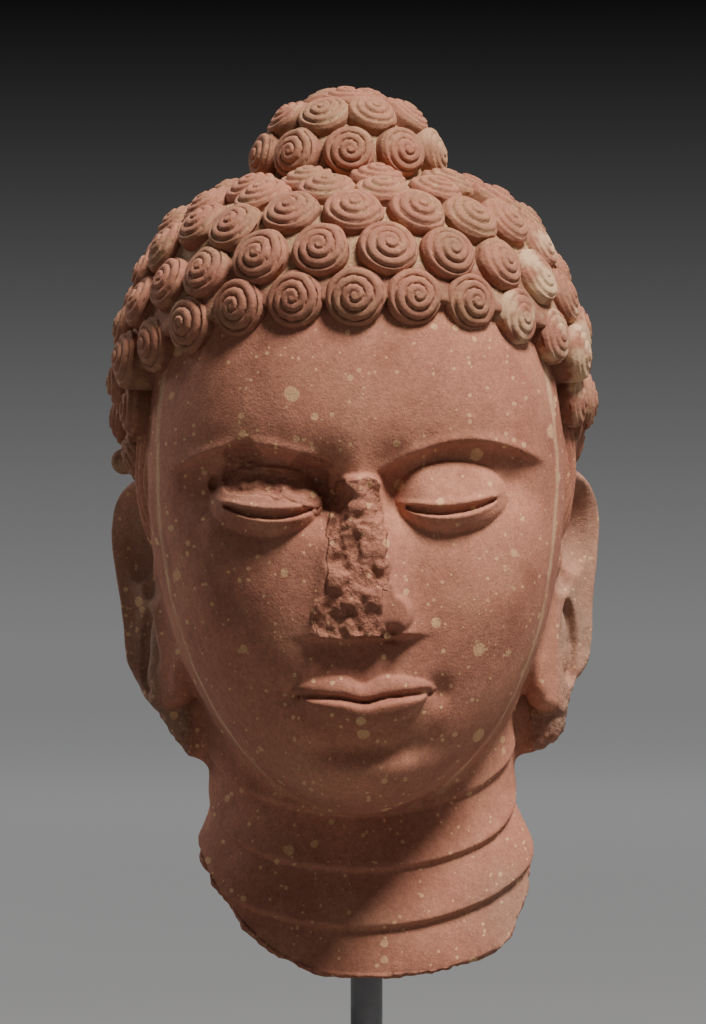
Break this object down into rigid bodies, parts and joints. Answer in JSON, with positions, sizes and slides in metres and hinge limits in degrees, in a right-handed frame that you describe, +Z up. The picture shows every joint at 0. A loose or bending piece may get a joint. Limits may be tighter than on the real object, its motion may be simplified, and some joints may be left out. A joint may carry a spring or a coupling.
{
  "type": "stone head sculpture",
  "caption": "Weathered sandstone head with snail-shell curls, a topknot and long pierced ears, broken at the nose and neck, held up by a steel rod in a square foot",
  "frame": {"origin": "centre of the underside of the square foot, on which the stand rests", "axes": "+Z up along the rod, +X to the right of someone looking at the face, -Y the way the face looks"},
  "size_m": [0.1714, 0.195, 0.3769],
  "materials": {
    "sandstone": "weathered red sandstone, carved and rubbed, with pale spots and grit in the hollows",
    "rod_steel": "satin grey paint on a plain round bar",
    "foot_steel": "satin grey paint on a flat plate"
  },
  "bodies": {
    "root": {"head": "sandstone", "rod": "rod_steel", "foot": "foot_steel"}
  },
  "joints": []
}
